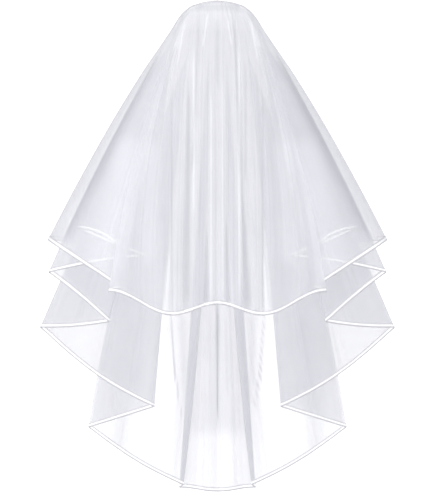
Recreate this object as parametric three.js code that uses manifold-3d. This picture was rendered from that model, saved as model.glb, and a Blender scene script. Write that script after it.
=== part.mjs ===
import * as THREE from "three";
import Module from "manifold-3d";

const wasm = await Module();
wasm.setup();

// A bridal veil of two tiers of soft net with a ribbon edge, gathered on a hair comb, in the form it
// has when it is worn. Millimetres. +Z is up, -Y is the front, the side on which the short tier lies,
// and +X is on the right as seen from the front. The origin is the middle of the comb's spine. Drops
// are measured down from the top of the crown.

// Driving sizes
const NET_THICK = 1.0;
const RIBBON_WIDE = 7;
const RIBBON_THICK = 0.9;
const RIBBON_OVERHANG = 0.8;
const SEAM_GAP = 0.3;
const RIBBON_GAP = 0.43;
const EDGE_LIFT = 0.45;
const COMB_HALF = 38;
const COMB_BOW = 9;
const SPINE_HIGH = 5;
const SPINE_BACK = 3.2;
const SPINE_FRONT = 2.6;
const SPINE_STEPS = 16;
const TOOTH_COUNT = 17;
const TOOTH_LONG = 38;
const TOOTH_WIDE = 2.2;
const TOOTH_TIP = 1.0;
const TOOTH_THICK = 1.8;
const TOOTH_SIDES = 6;
const TOOTH_LEAN = THREE.MathUtils.degToRad(14);
const CROWN_TOP = 12;
const HEAD_DROP = 54;
const CROWN_HALF = 86;
const FLARE = 0.579;
const WIDEST_HALF = 312;
const FULL_DEPTH = 210;
// A column whose depth is less than this past its tier's first one is on the middle panel
const PANEL_DEPTH = 1.01;

// Level by level, how far the net hangs in front of the comb, how it bows back at its sides, how much
// of its depth its layers have reached, and how much less the deeper ones bow
const LEVEL = { drop: 0, ahead: 1, bow: 2, spread: 3, slack: 4 };
const LEVELS = [
  [54, 80, 32, 0.3, 0.0],
  [110, 98, 44, 0.38, 0.1],
  [200, 108, 60, 0.52, 0.25],
  [320, 112, 74, 0.68, 0.35],
  [450, 115, 86, 0.84, 0.45],
  [600, 118, 94, 0.94, 0.5],
  [860, 122, 100, 1.0, 0.5],
];

// One row for each fold of half a tier, from the middle to the free edge. x and drop are its place at
// the hem, depth is how far its layer lies from where its tier's layers are counted, round is the
// radius of its turn in depth and reach the turn's length along the hem, head and gather are its x at
// the head line and on the comb, lean bends it outwards above the hem, sag lowers the hem on the way
// to it, ogee eases that hem at both ends, and cells counts the plain columns on the way.
const FOLD = {
  name: 0, x: 1, drop: 2, depth: 3, round: 4, reach: 5, head: 6, gather: 7, lean: 8, sag: 9, ogee: 10,
  cells: 11,
};
const TOP_FOLDS = [
  ["middle", 0, 528, 0, 0, 0, 0, 0, 0, 0, 0, 0],
  ["low point", 78, 547, 0, 0, 0, 62, 16, 2, 0, 1, 11],
  ["tuck edge", 189, 506, 5, 5, 5, 70, 21.5, 0.5, 0, 1, 8],
  ["tuck back", 169, 500, 15, 5, 5, 69, 22.5, 0, 0, 0, 1],
  ["side wrap", 298, 416, 116, 94, 30, 90, 29, 0.12, 0, 0, 6],
  ["ribbon line", 164, 426, 211, 0, 0, 78, 36, 0, 0, 0, 5],
  ["free edge", 157, 427, 212, 0, 0, 72, 37.5, 0, 0, 0, 1],
];
const LOWER_FOLDS = [
  ["middle", 0, 859, 32, 0, 0, 0, 0, 0, 0, 0, 0],
  ["panel corner", 67, 852, 38, 5, 5, 14, 5, 0, 0, 1, 5],
  ["panel tuck", 60, 847, 49, 5, 4, 15.5, 6, -1.3, 0, 0, 1],
  ["low tip", 227, 746, 64, 7, 7, 40, 12, 0.45, 8, 0, 7],
  ["low inner fold", 111, 709, 82, 7, 7, 46, 14, 0.2, 0, 0, 4],
  ["wide tip", 312, 570, 101, 7, 7, 62, 17.5, 0.12, 14, 0, 8],
  ["middle inner fold", 190, 560, 120, 7, 7, 66, 20, 0, 3, 0, 4],
  ["middle tip", 296, 473, 139, 7, 7, 74, 22.5, 0.2, -3, 0, 5],
  ["high inner fold", 126, 446, 157, 7, 7, 74, 25, 0, -4, 0, 5],
  ["high tip", 246, 396, 175, 7, 7, 78, 27, 0, 2, 0, 4],
  ["ribbon line", 174, 424, 189.5, 0, 0, 76.5, 30.5, 0, -6, 0, 3],
  ["free edge", 167, 425, 190, 0, 0, 73.5, 33, 0, 0, 0, 1],
];

// Soft pleats of the middle panels: x at the hem, half width, how far back it goes, and the drop where
// each starts. A negative depth is a ridge.
const PLEAT = { name: 0, x: 1, half: 2, depth: 3, from: 4 };
const PLEAT_START_REACH = 60;
const PLEAT_START_DEPTH = 0.4;
const TOP_PLEATS = [
  ["middle trough", 0, 7, 3, 30],
  ["inner ridge", 10, 6, -4, 150],
  ["inner pleat", 21, 10, 9, 380],
  ["main ridge", 40, 9, -6, 60],
  ["outer pleat", 54, 12, 11, 300],
  ["long trough", 80, 8, 7, 140],
  ["side ridge", 97, 10, -6, 220],
  ["side roll", 125, 16, 6, 180],
  ["edge roll", 155, 15, -6, 160],
];
const LOWER_PLEATS = [
  ["middle crease", 0, 8, 6, 300],
  ["panel ridge", 22, 12, -5, 300],
  ["panel hollow", 44, 12, 5, 300],
];

// Rows from the comb to the hem: shares of the way over the crown, then drops below the head line that
// all columns share, then shares of what is left above the ribbon
const CROWN_ROWS = [0, 0.16, 0.36, 0.62];
const HEAD_ROWS = [0, 26, 62, 110];
const HANG_ROWS = [0.25, 0.5, 0.75, 1];

// How many times each row, from the comb down, is eased along its length. The gathered rows run
// smoothly and the folds open below them.
const EASE_PASSES = [46, 46, 46, 46, 32, 14, 4, 1];
const EASE = 0.5;

// Degrees round the arc at which a fold's turn has a column, and the radius from which a turn is a wrap
const TURN_ANGLES = [45, 90];
const WRAP_ANGLES = [24, 47, 68, 90];
const WRAP_ROUND = 50;

// Shares of the way from the comb to the head line where the net rises and where it comes over the
// shoulder of the crown, at the middle and at the side
const RISE_AT = [0.15, 0.12];
const SHOULDER_AT = [0.775, 0.52];

// Each tier: its folds and pleats, where its edge stands on the comb, how high it rises over it and over
// its shoulder, both at the middle and at the side, which of a column's places says how far it is to
// the side and how far that goes, at which row the ribbon of its free edge starts, where the depth of
// its layers is counted from and which way. The short tier's middle is at the front and its sides wrap
// round to the back. The long tier's middle hangs at the back and its folds come forward to the short
// tier.
const TIERS = {
  top: {
    folds: TOP_FOLDS, pleats: TOP_PLEATS, stand: 0.9, rise: [28.5, 9], shoulder: [18, 1],
    side: ["gather", COMB_HALF], ribbonRow: 4, from: 0, way: 1,
  },
  lower: {
    folds: LOWER_FOLDS, pleats: LOWER_PLEATS, stand: -1.8, rise: [10, 6.5], shoulder: [6, -4],
    side: ["head", CROWN_HALF], ribbonRow: 4, from: 232, way: -1,
  },
};

const levelCurve = new THREE.CubicInterpolant(
  LEVELS.map((row) => row[LEVEL.drop]),
  LEVELS.flatMap((row) => row.slice(LEVEL.ahead)),
  LEVEL.slack,
);

function levelAt(drop) {
  const [ahead, bow, spread, slack] = levelCurve.evaluate(drop);
  return { ahead, bow, spread, slack };
}

function foldOf(row) {
  return Object.fromEntries(Object.entries(FOLD).map(([key, at]) => [key, row[at]]));
}

// The hem's place and the column's other values at a share of the way from one fold to the next
function betweenFolds(a, b, share) {
  const mix = (key) => THREE.MathUtils.lerp(a[key], b[key], share);
  const hemShare = b.ogee ? (1 - Math.cos(Math.PI * share)) / 2 : share;
  return {
    x: mix("x"),
    drop: THREE.MathUtils.lerp(a.drop, b.drop, hemShare) + b.sag * Math.sin(Math.PI * share),
    depth: THREE.MathUtils.lerp(a.depth + a.round, b.depth - b.round, share),
    head: mix("head"),
    lean: mix("lean"),
  };
}

// The columns of one side of a fold's turn, from its tip to its end, on an arc in plan
function turnColumns(a, b, fold) {
  const run = Math.hypot(b.x - a.x, b.drop - a.drop);
  const other = fold === a ? b : a;
  const side = Math.sign(fold.x - other.x);
  const angles = fold.round > WRAP_ROUND ? WRAP_ANGLES : TURN_ANGLES;
  return angles.map((degrees) => {
    const angle = THREE.MathUtils.degToRad(degrees);
    const part = 1 - Math.cos(angle);
    const share = (fold.reach / run) * part;
    const turn = fold.round * Math.sin(angle);
    return {
      ...betweenFolds(a, b, fold === a ? share : 1 - share),
      depth: fold.depth + (fold === a ? turn : -turn),
      head: fold.head - side * part * Math.min(fold.reach, fold.round) * LEVELS[0][LEVEL.spread],
      lean: fold.lean,
    };
  });
}

// The columns of half a tier. Those of each stretch stand evenly on the comb.
function halfColumns(rows) {
  const folds = rows.map(foldOf);
  const columns = [{ ...folds[0] }];
  for (let i = 1; i < folds.length; i += 1) {
    const a = folds[i - 1];
    const b = folds[i];
    const run = Math.hypot(b.x - a.x, b.drop - a.drop);
    const leaving = a.round ? turnColumns(a, b, a) : [];
    const arriving = b.round ? turnColumns(a, b, b).reverse() : [];
    const from = leaving.at(-1) ?? a;
    const to = arriving[0] ?? b;
    const plain = Array.from({ length: b.cells - 1 }, (_, k) => {
      const share = (k + 1) / b.cells;
      const onHem = THREE.MathUtils.lerp(a.reach / run, 1 - b.reach / run, share);
      const head = THREE.MathUtils.lerp(from.head, to.head, share);
      return { ...betweenFolds(a, b, onHem), head, lean: THREE.MathUtils.lerp(from.lean, to.lean, share) };
    });
    const stretch = [...leaving, ...plain, ...arriving, { ...b }];
    stretch.forEach((column, k) => {
      column.gather = THREE.MathUtils.lerp(a.gather, b.gather, (k + 1) / stretch.length);
    });
    columns.push(...stretch);
  }
  return columns;
}

// How far the pleats push one column back at a drop
function pleatDepth(pleats, column, drop) {
  let depth = 0;
  for (const row of pleats) {
    const reach = Math.abs(column.x - row[PLEAT.x]) / row[PLEAT.half];
    if (reach >= 1) continue;
    const grown = THREE.MathUtils.smoothstep(drop, row[PLEAT.from], column.drop);
    const above = row[PLEAT.from] - PLEAT_START_REACH;
    const below = row[PLEAT.from] + PLEAT_START_REACH;
    const started = PLEAT_START_DEPTH * THREE.MathUtils.smoothstep(drop, above, below);
    depth += (row[PLEAT.depth] * Math.max(grown, started) * (1 + Math.cos(Math.PI * reach))) / 2;
  }
  return depth;
}

// A point of the hanging net below the head line
function hangPoint(tier, column, drop) {
  const share = (drop - HEAD_DROP) / (column.drop - HEAD_DROP);
  const x = column.head + (column.x - column.head) * (share + column.lean * share * (1 - share));
  const level = levelAt(drop);
  const half = Math.min(WIDEST_HALF, CROWN_HALF + FLARE * (drop - HEAD_DROP));
  const depth = tier.from + tier.way * column.depth;
  const bow = level.bow * (x / half) ** 2 * (1 - (level.slack * depth) / FULL_DEPTH);
  const onPanel = column.depth < tier.folds[0][FOLD.depth] + PANEL_DEPTH;
  const pleat = onPanel ? pleatDepth(tier.pleats, column, drop) : 0;
  const y = bow - level.ahead + depth * level.spread + pleat;
  return new THREE.Vector3(x, y, CROWN_TOP - drop);
}

// A point on the way from the comb over the crown to the head line
function crownPoint(tier, column, share) {
  const start = new THREE.Vector3(
    column.gather,
    tier.stand + COMB_BOW * (column.gather / COMB_HALF) ** 2,
    SPINE_HIGH / 2 + SEAM_GAP + EDGE_LIFT,
  );
  const end = hangPoint(tier, column, HEAD_DROP);
  const [place, reach] = tier.side;
  const side = column[place] / reach;
  const rise = start.clone().lerp(end, THREE.MathUtils.lerp(...RISE_AT, side));
  rise.z = THREE.MathUtils.lerp(...tier.rise, side);
  const shoulder = start.clone().lerp(end, THREE.MathUtils.lerp(...SHOULDER_AT, side));
  shoulder.z = THREE.MathUtils.lerp(...tier.shoulder, side);
  return new THREE.CubicBezierCurve3(start, rise, shoulder, end).getPoint(share);
}

function columnPoints(tier, column) {
  const crown = CROWN_ROWS.map((share) => crownPoint(tier, column, share));
  const head = HEAD_ROWS.map((below) => hangPoint(tier, column, HEAD_DROP + below));
  const last = HEAD_DROP + HEAD_ROWS.at(-1);
  const seam = column.drop - RIBBON_WIDE;
  const hang = HANG_ROWS.map((share) => hangPoint(tier, column, THREE.MathUtils.lerp(last, seam, share)));
  return [...crown, ...head, ...hang, hangPoint(tier, column, column.drop)];
}

// The whole tier's grid of points, from its left free edge round its middle to its right one
function tierGrid(tier) {
  const right = halfColumns(tier.folds).map((column) => columnPoints(tier, column));
  const left = right
    .slice(1)
    .reverse()
    .map((points) => points.map((p) => new THREE.Vector3(-p.x, p.y, p.z)));
  const grid = [...left, ...right];
  EASE_PASSES.forEach((passes, row) => {
    for (let pass = 0; pass < passes; pass += 1) {
      const before = grid.map((column) => column[row].clone());
      for (let i = 1; i < grid.length - 1; i += 1) {
        const middle = before[i - 1].clone().lerp(before[i + 1], 0.5);
        grid[i][row].lerp(middle, EASE);
      }
    }
  });
  return grid;
}

// Unit normals of a grid of points. At the middle of a tier they point to the back.
function gridNormals(grid) {
  const columns = grid.length;
  const rows = grid[0].length;
  return grid.map((column, i) =>
    column.map((_, j) => {
      const across = grid[Math.min(i + 1, columns - 1)][j].clone().sub(grid[Math.max(i - 1, 0)][j]);
      const down = column[Math.min(j + 1, rows - 1)].clone().sub(column[Math.max(j - 1, 0)]);
      return across.cross(down).normalize();
    }),
  );
}

// A closed solid between two grids of points of the same size
function solidBetween(outer, inner) {
  const columns = outer.length;
  const rows = outer[0].length;
  const points = [...outer.flat(), ...inner.flat()];
  const at = (side, i, j) => side * columns * rows + i * rows + j;
  const faces = [];
  const quad = (a, b, c, d) => faces.push(a, b, c, a, c, d);
  for (let i = 0; i < columns - 1; i += 1) {
    for (let j = 0; j < rows - 1; j += 1) {
      quad(at(0, i, j), at(0, i, j + 1), at(0, i + 1, j + 1), at(0, i + 1, j));
      quad(at(1, i, j), at(1, i + 1, j), at(1, i + 1, j + 1), at(1, i, j + 1));
    }
    quad(at(0, i, 0), at(0, i + 1, 0), at(1, i + 1, 0), at(1, i, 0));
    quad(at(0, i, rows - 1), at(1, i, rows - 1), at(1, i + 1, rows - 1), at(0, i + 1, rows - 1));
  }
  for (let j = 0; j < rows - 1; j += 1) {
    const last = columns - 1;
    quad(at(0, 0, j), at(1, 0, j), at(1, 0, j + 1), at(0, 0, j + 1));
    quad(at(0, last, j), at(0, last, j + 1), at(1, last, j + 1), at(1, last, j));
  }
  const geometry = new THREE.BufferGeometry().setFromPoints(points);
  geometry.setIndex(faces);
  geometry.computeVertexNormals();
  return geometry;
}

function moved(grid, normals, distance) {
  return grid.map((column, i) => column.map((p, j) => p.clone().addScaledVector(normals[i][j], distance)));
}

// The ribbon of a tier: down its left free edge, along its hem and up its right free edge. It lies on
// the net's own outermost cells, which are as wide as it is, on the face that is the front one at the
// middle.
function ribbonGeometry(tier, grid, normals) {
  const last = grid.length - 1;
  const hem = grid[0].length - 1;
  const rail = [];
  const lay = (i, j, innerI, innerJ) => {
    const inner = grid[innerI][innerJ];
    const over = grid[i][j].clone().sub(inner).setLength(RIBBON_OVERHANG);
    rail.push([
      { point: inner, normal: normals[innerI][innerJ] },
      { point: grid[i][j].clone().add(over), normal: normals[i][j] },
    ]);
  };
  for (let j = tier.ribbonRow; j < hem - 1; j += 1) lay(0, j, 1, j);
  lay(0, hem, 1, hem - 1);
  for (let i = 2; i < last - 1; i += 1) lay(i, hem, i, hem - 1);
  lay(last, hem, last - 1, hem - 1);
  for (let j = hem - 2; j >= tier.ribbonRow; j -= 1) lay(last, j, last - 1, j);
  const near = NET_THICK / 2 + RIBBON_GAP;
  const strip = (off) => rail.map((pair) => pair.map((p) => p.point.clone().addScaledVector(p.normal, -off)));
  return solidBetween(strip(near + RIBBON_THICK), strip(near));
}

// The comb: a bowed spine with tapered teeth, joined into one solid
function manifoldOf(geometry) {
  const plain = geometry.index ? geometry.toNonIndexed() : geometry;
  const merged = new Map();
  const vertices = [];
  const triangles = [];
  const position = plain.getAttribute("position");
  for (let i = 0; i < position.count; i += 1) {
    const p = [position.getX(i), position.getY(i), position.getZ(i)];
    const key = p.map((value) => Math.round(value * 1e4) + 0).join(" ");
    if (!merged.has(key)) {
      merged.set(key, merged.size);
      vertices.push(...p);
    }
    triangles.push(merged.get(key));
  }
  return new wasm.Manifold(
    new wasm.Mesh({
      numProp: 3,
      vertProperties: new Float32Array(vertices),
      triVerts: new Uint32Array(triangles),
    }),
  );
}

function combGeometry() {
  const bowAt = (x) => COMB_BOW * (x / COMB_HALF) ** 2;
  const outline = new THREE.Shape();
  const xs = Array.from({ length: SPINE_STEPS + 1 }, (_, k) => (2 * k * COMB_HALF) / SPINE_STEPS - COMB_HALF);
  const corners = [
    ...xs.map((x) => [x, bowAt(x) - SPINE_BACK]),
    ...[...xs].reverse().map((x) => [x, bowAt(x) + SPINE_FRONT]),
  ];
  corners.forEach(([x, y], k) => (k ? outline.lineTo(x, y) : outline.moveTo(x, y)));
  outline.closePath();
  const spine = new THREE.ExtrudeGeometry(outline, { depth: SPINE_HIGH, bevelEnabled: false });
  spine.translate(0, 0, -SPINE_HIGH / 2);
  let solid = manifoldOf(spine);
  for (let k = 0; k < TOOTH_COUNT; k += 1) {
    const x = THREE.MathUtils.lerp(-COMB_HALF + TOOTH_WIDE, COMB_HALF - TOOTH_WIDE, k / (TOOTH_COUNT - 1));
    const tooth = new THREE.CylinderGeometry(TOOTH_WIDE / 2, TOOTH_TIP / 2, TOOTH_LONG, TOOTH_SIDES);
    tooth.scale(1, 1, TOOTH_THICK / TOOTH_WIDE);
    tooth.rotateX(Math.PI / 2);
    tooth.translate(0, 0, -TOOTH_LONG / 2);
    tooth.rotateX(-TOOTH_LEAN);
    tooth.translate(x, bowAt(x), 0);
    solid = solid.add(manifoldOf(tooth));
  }
  const mesh = solid.getMesh();
  const geometry = new THREE.BufferGeometry();
  geometry.setAttribute("position", new THREE.BufferAttribute(new Float32Array(mesh.vertProperties), 3));
  geometry.setIndex(new THREE.BufferAttribute(new Uint32Array(mesh.triVerts), 1));
  geometry.computeVertexNormals();
  return geometry;
}

// Materials
const net = new THREE.MeshStandardMaterial({ color: 0xf4f4fa, roughness: 0.85, metalness: 0 });
const satin = new THREE.MeshStandardMaterial({ color: 0xffffff, roughness: 0.4, metalness: 0 });
const clearPlastic = new THREE.MeshStandardMaterial({ color: 0xe9e9ec, roughness: 0.25, metalness: 0 });

function named(name, geometry, material) {
  const mesh = new THREE.Mesh(geometry, material);
  mesh.name = name;
  return mesh;
}

const veil = new THREE.Group();
for (const [name, tier] of Object.entries(TIERS)) {
  const grid = tierGrid(tier);
  const normals = gridNormals(grid);
  const wall = solidBetween(moved(grid, normals, -NET_THICK / 2), moved(grid, normals, NET_THICK / 2));
  veil.add(named(name + "_tier", wall, net));
  veil.add(named(name + "_ribbon", ribbonGeometry(tier, grid, normals), satin));
}
veil.add(named("hair_comb", combGeometry(), clearPlastic));

export default veil;
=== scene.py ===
import bpy
import bmesh
import math
import random
import numpy as np
from mathutils import Matrix, Vector


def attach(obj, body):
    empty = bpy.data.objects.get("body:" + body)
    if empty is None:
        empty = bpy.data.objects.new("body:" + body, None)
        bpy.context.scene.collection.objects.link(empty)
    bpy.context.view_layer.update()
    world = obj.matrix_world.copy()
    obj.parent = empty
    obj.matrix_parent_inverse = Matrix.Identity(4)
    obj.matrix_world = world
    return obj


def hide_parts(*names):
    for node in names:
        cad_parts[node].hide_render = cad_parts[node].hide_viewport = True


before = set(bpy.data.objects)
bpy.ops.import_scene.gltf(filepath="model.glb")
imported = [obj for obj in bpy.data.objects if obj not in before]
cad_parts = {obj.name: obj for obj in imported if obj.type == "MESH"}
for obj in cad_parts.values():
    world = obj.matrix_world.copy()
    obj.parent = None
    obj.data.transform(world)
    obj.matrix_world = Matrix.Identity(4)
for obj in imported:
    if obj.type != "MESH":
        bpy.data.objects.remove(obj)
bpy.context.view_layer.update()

# A bridal veil of two tiers of soft net with a satin ribbon edge. Sizes of the net are in millimetres
# and are turned to metres when a piece is made. +Z is up and -Y is the front, where the short tier lies.
MM = 0.001

# The same sizes as the solids have
RIBBON_WIDE = 7
COMB_HALF = 38
COMB_BOW = 9
SPINE_HIGH = 5
CROWN_TOP = 12
HEAD_DROP = 54
CROWN_HALF = 86
FLARE = 0.579
WIDEST_HALF = 312
FULL_DEPTH = 210
PANEL_DEPTH = 1.01
EDGE_STAND = 0.75

# Level by level: the drop, how far the net hangs in front of the comb, how it bows back at its
# sides, how much of its depth its layers have reached, and how much less the deeper ones bow
LEVELS = [
    (54, 80, 32, 0.30, 0.0),
    (110, 98, 44, 0.38, 0.1),
    (200, 108, 60, 0.52, 0.25),
    (320, 112, 74, 0.68, 0.35),
    (450, 115, 86, 0.84, 0.45),
    (600, 118, 94, 0.94, 0.5),
    (860, 122, 100, 1.0, 0.5),
]
SPREAD = 3

# Folds of half a tier, from the middle to the free edge, as they lie at the hem
FOLD_KEYS = ("x", "drop", "depth", "round", "reach", "head", "gather", "lean", "sag", "ogee", "cells")
TOP_FOLDS = [
    (0, 528, 0, 0, 0, 0, 0, 0, 0, 0, 0),
    (78, 547, 0, 0, 0, 62, 16, 2, 0, 1, 11),
    (189, 506, 5, 5, 5, 70, 21.5, 0.5, 0, 1, 8),
    (169, 500, 15, 5, 5, 69, 22.5, 0, 0, 0, 1),
    (298, 416, 116, 94, 30, 90, 29, 0.12, 0, 0, 6),
    (164, 426, 211, 0, 0, 78, 36, 0, 0, 0, 5),
    (157, 427, 212, 0, 0, 72, 37.5, 0, 0, 0, 1),
]
LOWER_FOLDS = [
    (0, 859, 32, 0, 0, 0, 0, 0, 0, 0, 0),
    (67, 852, 38, 5, 5, 14, 5, 0, 0, 1, 5),
    (60, 847, 49, 5, 4, 15.5, 6, -1.3, 0, 0, 1),
    (227, 746, 64, 7, 7, 40, 12, 0.45, 8, 0, 7),
    (111, 709, 82, 7, 7, 46, 14, 0.2, 0, 0, 4),
    (312, 570, 101, 7, 7, 62, 17.5, 0.12, 14, 0, 8),
    (190, 560, 120, 7, 7, 66, 20, 0, 3, 0, 4),
    (296, 473, 139, 7, 7, 74, 22.5, 0.2, -3, 0, 5),
    (126, 446, 157, 7, 7, 74, 25, 0, -4, 0, 5),
    (246, 396, 175, 7, 7, 78, 27, 0, 2, 0, 4),
    (174, 424, 189.5, 0, 0, 76.5, 30.5, 0, -6, 0, 3),
    (167, 425, 190, 0, 0, 73.5, 33, 0, 0, 0, 1),
]

# Soft pleats: x at the hem, half width, how far back it goes, and the drop where each starts
TOP_PLEATS = [
    (0, 7, 3, 30),
    (10, 6, -4, 150),
    (21, 10, 9, 380),
    (40, 9, -6, 60),
    (54, 12, 11, 300),
    (80, 8, 7, 140),
    (97, 10, -6, 220),
    (125, 16, 6, 180),
    (155, 15, -6, 160),
]
LOWER_PLEATS = [
    (0, 8, 6, 300),
    (22, 12, -5, 300),
    (44, 12, 5, 300),
]
PLEAT_START_REACH = 60
PLEAT_START_DEPTH = 0.4

# Rows from the comb to the hem: shares of the way over the crown, then drops below the head line,
# then shares of what is left above the ribbon
CROWN_ROWS = (0, 0.16, 0.36, 0.62)
HEAD_ROWS = (0, 26, 62, 110)
HANG_ROWS = (0.25, 0.5, 0.75, 1)
# How many times each row, from the comb down, is eased along its length
EASE_PASSES = (46, 46, 46, 46, 32, 14, 4, 1)
# Degrees round the arc at which a fold's turn has a column, and the radius from which it is a wrap
TURN_ANGLES = (45, 90)
WRAP_ANGLES = (24, 47, 68, 90)
WRAP_ROUND = 50
# Shares of the way from the comb to the head line where the net rises and comes over the crown's
# shoulder, at the middle and at the side
RISE_AT = (0.15, 0.12)
SHOULDER_AT = (0.775, 0.52)
# The row at which the ribbon of each free edge starts
RIBBON_ROW = 4

# The shortest length that is divided by, for columns and for normals, and the reach of a weld in metres
SHORT_RUN = 1e-6
SHORT_NORMAL = 1e-9
WELD_REACH = 1e-7


def lerp(a, b, share):
    return a + (b - a) * share


def smoothstep(x, low, high):
    share = np.clip((x - low) / (high - low), 0, 1)
    return share * share * (3 - 2 * share)


def level_at(drop):
    """How the net hangs at a drop, on a smooth curve through the levels."""
    rows = np.array(LEVELS, float)
    drops = rows[:, 0]
    i = int(np.clip(np.searchsorted(drops, drop, side="right") - 1, 0, len(drops) - 2))
    h = drops[i + 1] - drops[i]
    slopes = np.gradient(rows[:, 1:], drops, axis=0)
    t = (drop - drops[i]) / h
    a, b = rows[i, 1:], rows[i + 1, 1:]
    tangents = slopes[i] * (t - 2 * t * t + t**3) + slopes[i + 1] * (t**3 - t * t)
    return a + (b - a) * (3 * t * t - 2 * t**3) + h * tangents


def between_folds(a, b, share):
    hem_share = (1 - math.cos(math.pi * share)) / 2 if b["ogee"] else share
    return {
        "x": lerp(a["x"], b["x"], share),
        "drop": lerp(a["drop"], b["drop"], hem_share) + b["sag"] * math.sin(math.pi * share),
        "depth": lerp(a["depth"] + a["round"], b["depth"] - b["round"], share),
        "head": lerp(a["head"], b["head"], share),
        "lean": lerp(a["lean"], b["lean"], share),
    }


def turn_columns(a, b, fold):
    """The columns of one side of a fold's turn, from its tip to its end."""
    run = math.hypot(b["x"] - a["x"], b["drop"] - a["drop"])
    other = b if fold is a else a
    side = math.copysign(1, fold["x"] - other["x"])
    columns = []
    for degrees in WRAP_ANGLES if fold["round"] > WRAP_ROUND else TURN_ANGLES:
        part = 1 - math.cos(math.radians(degrees))
        share = fold["reach"] / run * part
        turn = fold["round"] * math.sin(math.radians(degrees))
        column = between_folds(a, b, share if fold is a else 1 - share)
        column["depth"] = fold["depth"] + (turn if fold is a else -turn)
        column["head"] = fold["head"] - side * part * min(fold["reach"], fold["round"]) * LEVELS[0][SPREAD]
        column["lean"] = fold["lean"]
        columns.append(column)
    return columns


def half_columns(rows):
    folds = [dict(zip(FOLD_KEYS, row)) for row in rows]
    columns = [dict(folds[0])]
    for a, b in zip(folds, folds[1:]):
        run = math.hypot(b["x"] - a["x"], b["drop"] - a["drop"])
        leaving = turn_columns(a, b, a) if a["round"] else []
        arriving = turn_columns(a, b, b)[::-1] if b["round"] else []
        start = leaving[-1] if leaving else a
        end = arriving[0] if arriving else b
        plain = []
        for k in range(1, b["cells"]):
            share = k / b["cells"]
            column = between_folds(a, b, lerp(a["reach"] / run, 1 - b["reach"] / run, share))
            column["head"] = lerp(start["head"], end["head"], share)
            column["lean"] = lerp(start["lean"], end["lean"], share)
            plain.append(column)
        stretch = [*leaving, *plain, *arriving, dict(b)]
        for k, column in enumerate(stretch, 1):
            column["gather"] = lerp(a["gather"], b["gather"], k / len(stretch))
        columns += stretch
    return columns


def pleat_depth(pleats, column, drop):
    depth = 0
    for x, half, deep, start in pleats:
        reach = abs(column["x"] - x) / half
        if reach < 1:
            grown = smoothstep(drop, start, column["drop"])
            opening = smoothstep(drop, start - PLEAT_START_REACH, start + PLEAT_START_REACH)
            started = PLEAT_START_DEPTH * opening
            depth += deep * max(grown, started) * (1 + math.cos(math.pi * reach)) / 2
    return depth


def hang_point(tier, column, drop):
    share = (drop - HEAD_DROP) / (column["drop"] - HEAD_DROP)
    x = column["head"] + (column["x"] - column["head"]) * (share + column["lean"] * share * (1 - share))
    ahead, bow, spread, slack = level_at(drop)
    half = min(WIDEST_HALF, CROWN_HALF + FLARE * (drop - HEAD_DROP))
    depth = tier["from"] + tier["way"] * column["depth"]
    y = bow * (x / half) ** 2 * (1 - slack * depth / FULL_DEPTH) - ahead + depth * spread
    if column["depth"] < tier["folds"][0][2] + PANEL_DEPTH:
        y += pleat_depth(tier["pleats"], column, drop)
    return np.array((x, y, CROWN_TOP - drop))


def crown_point(tier, column, share):
    start_y = tier["stand"] + COMB_BOW * (column["gather"] / COMB_HALF) ** 2
    start = np.array((column["gather"], start_y, SPINE_HIGH / 2 + EDGE_STAND))
    end = hang_point(tier, column, HEAD_DROP)
    place, reach = tier["side"]
    side = column[place] / reach
    rise = lerp(start, end, lerp(*RISE_AT, side))
    rise[2] = lerp(*tier["rise"], side)
    shoulder = lerp(start, end, lerp(*SHOULDER_AT, side))
    shoulder[2] = lerp(*tier["shoulder"], side)
    rest = 1 - share
    first = rest**3 * start + 3 * rest * rest * share * rise
    return first + 3 * rest * share * share * shoulder + share**3 * end


def column_points(tier, column):
    last = HEAD_DROP + HEAD_ROWS[-1]
    seam = column["drop"] - RIBBON_WIDE
    return [
        *(crown_point(tier, column, share) for share in CROWN_ROWS),
        *(hang_point(tier, column, HEAD_DROP + below) for below in HEAD_ROWS),
        *(hang_point(tier, column, lerp(last, seam, share)) for share in HANG_ROWS),
        hang_point(tier, column, column["drop"]),
    ]


def tier_grid(tier):
    """The tier's main form, as columns of points from its left free edge round to its right one."""
    right = np.array([column_points(tier, column) for column in half_columns(tier["folds"])])
    grid = np.concatenate([right[:0:-1] * (-1, 1, 1), right])
    for row, passes in enumerate(EASE_PASSES):
        for _ in range(passes):
            grid[1:-1, row] = grid[1:-1, row] / 2 + (grid[:-2, row] + grid[2:, row]) / 4
    return grid


def smooth_between(points, steps):
    """Points on a smooth curve through the first axis of an array, with a number of steps in each stretch."""
    length = np.linalg.norm(np.diff(points, axis=0), axis=-1, keepdims=True) + SHORT_RUN
    slope = np.diff(points, axis=0) / length
    inner = (slope[:-1] * length[1:] + slope[1:] * length[:-1]) / (length[:-1] + length[1:])
    tangent = np.concatenate([slope[:1], inner, slope[-1:]])
    out = []
    for i, count in enumerate(steps):
        for t in np.arange(count) / count:
            turn = (t - 2 * t * t + t**3) * tangent[i] + (t**3 - t * t) * tangent[i + 1]
            out.append(lerp(points[i], points[i + 1], 3 * t * t - 2 * t**3) + length[i] * turn)
    out.append(points[-1])
    return np.array(out)


def grid_normals(grid):
    across = np.gradient(grid, axis=0)
    down = np.gradient(grid, axis=1)
    normals = np.cross(across, down)
    return normals / (np.linalg.norm(normals, axis=-1, keepdims=True) + SHORT_NORMAL)


# How many fine cells lie between one row and the next, under the ribbon, and between two columns
ROW_STEPS = (6, 6, 6, 6, 6, 8, 8, 12, 12, 12, 12, 4)
RIBBON_CELLS = 4
FEWEST_CELLS = 2
MOST_CELLS = 8


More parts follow.
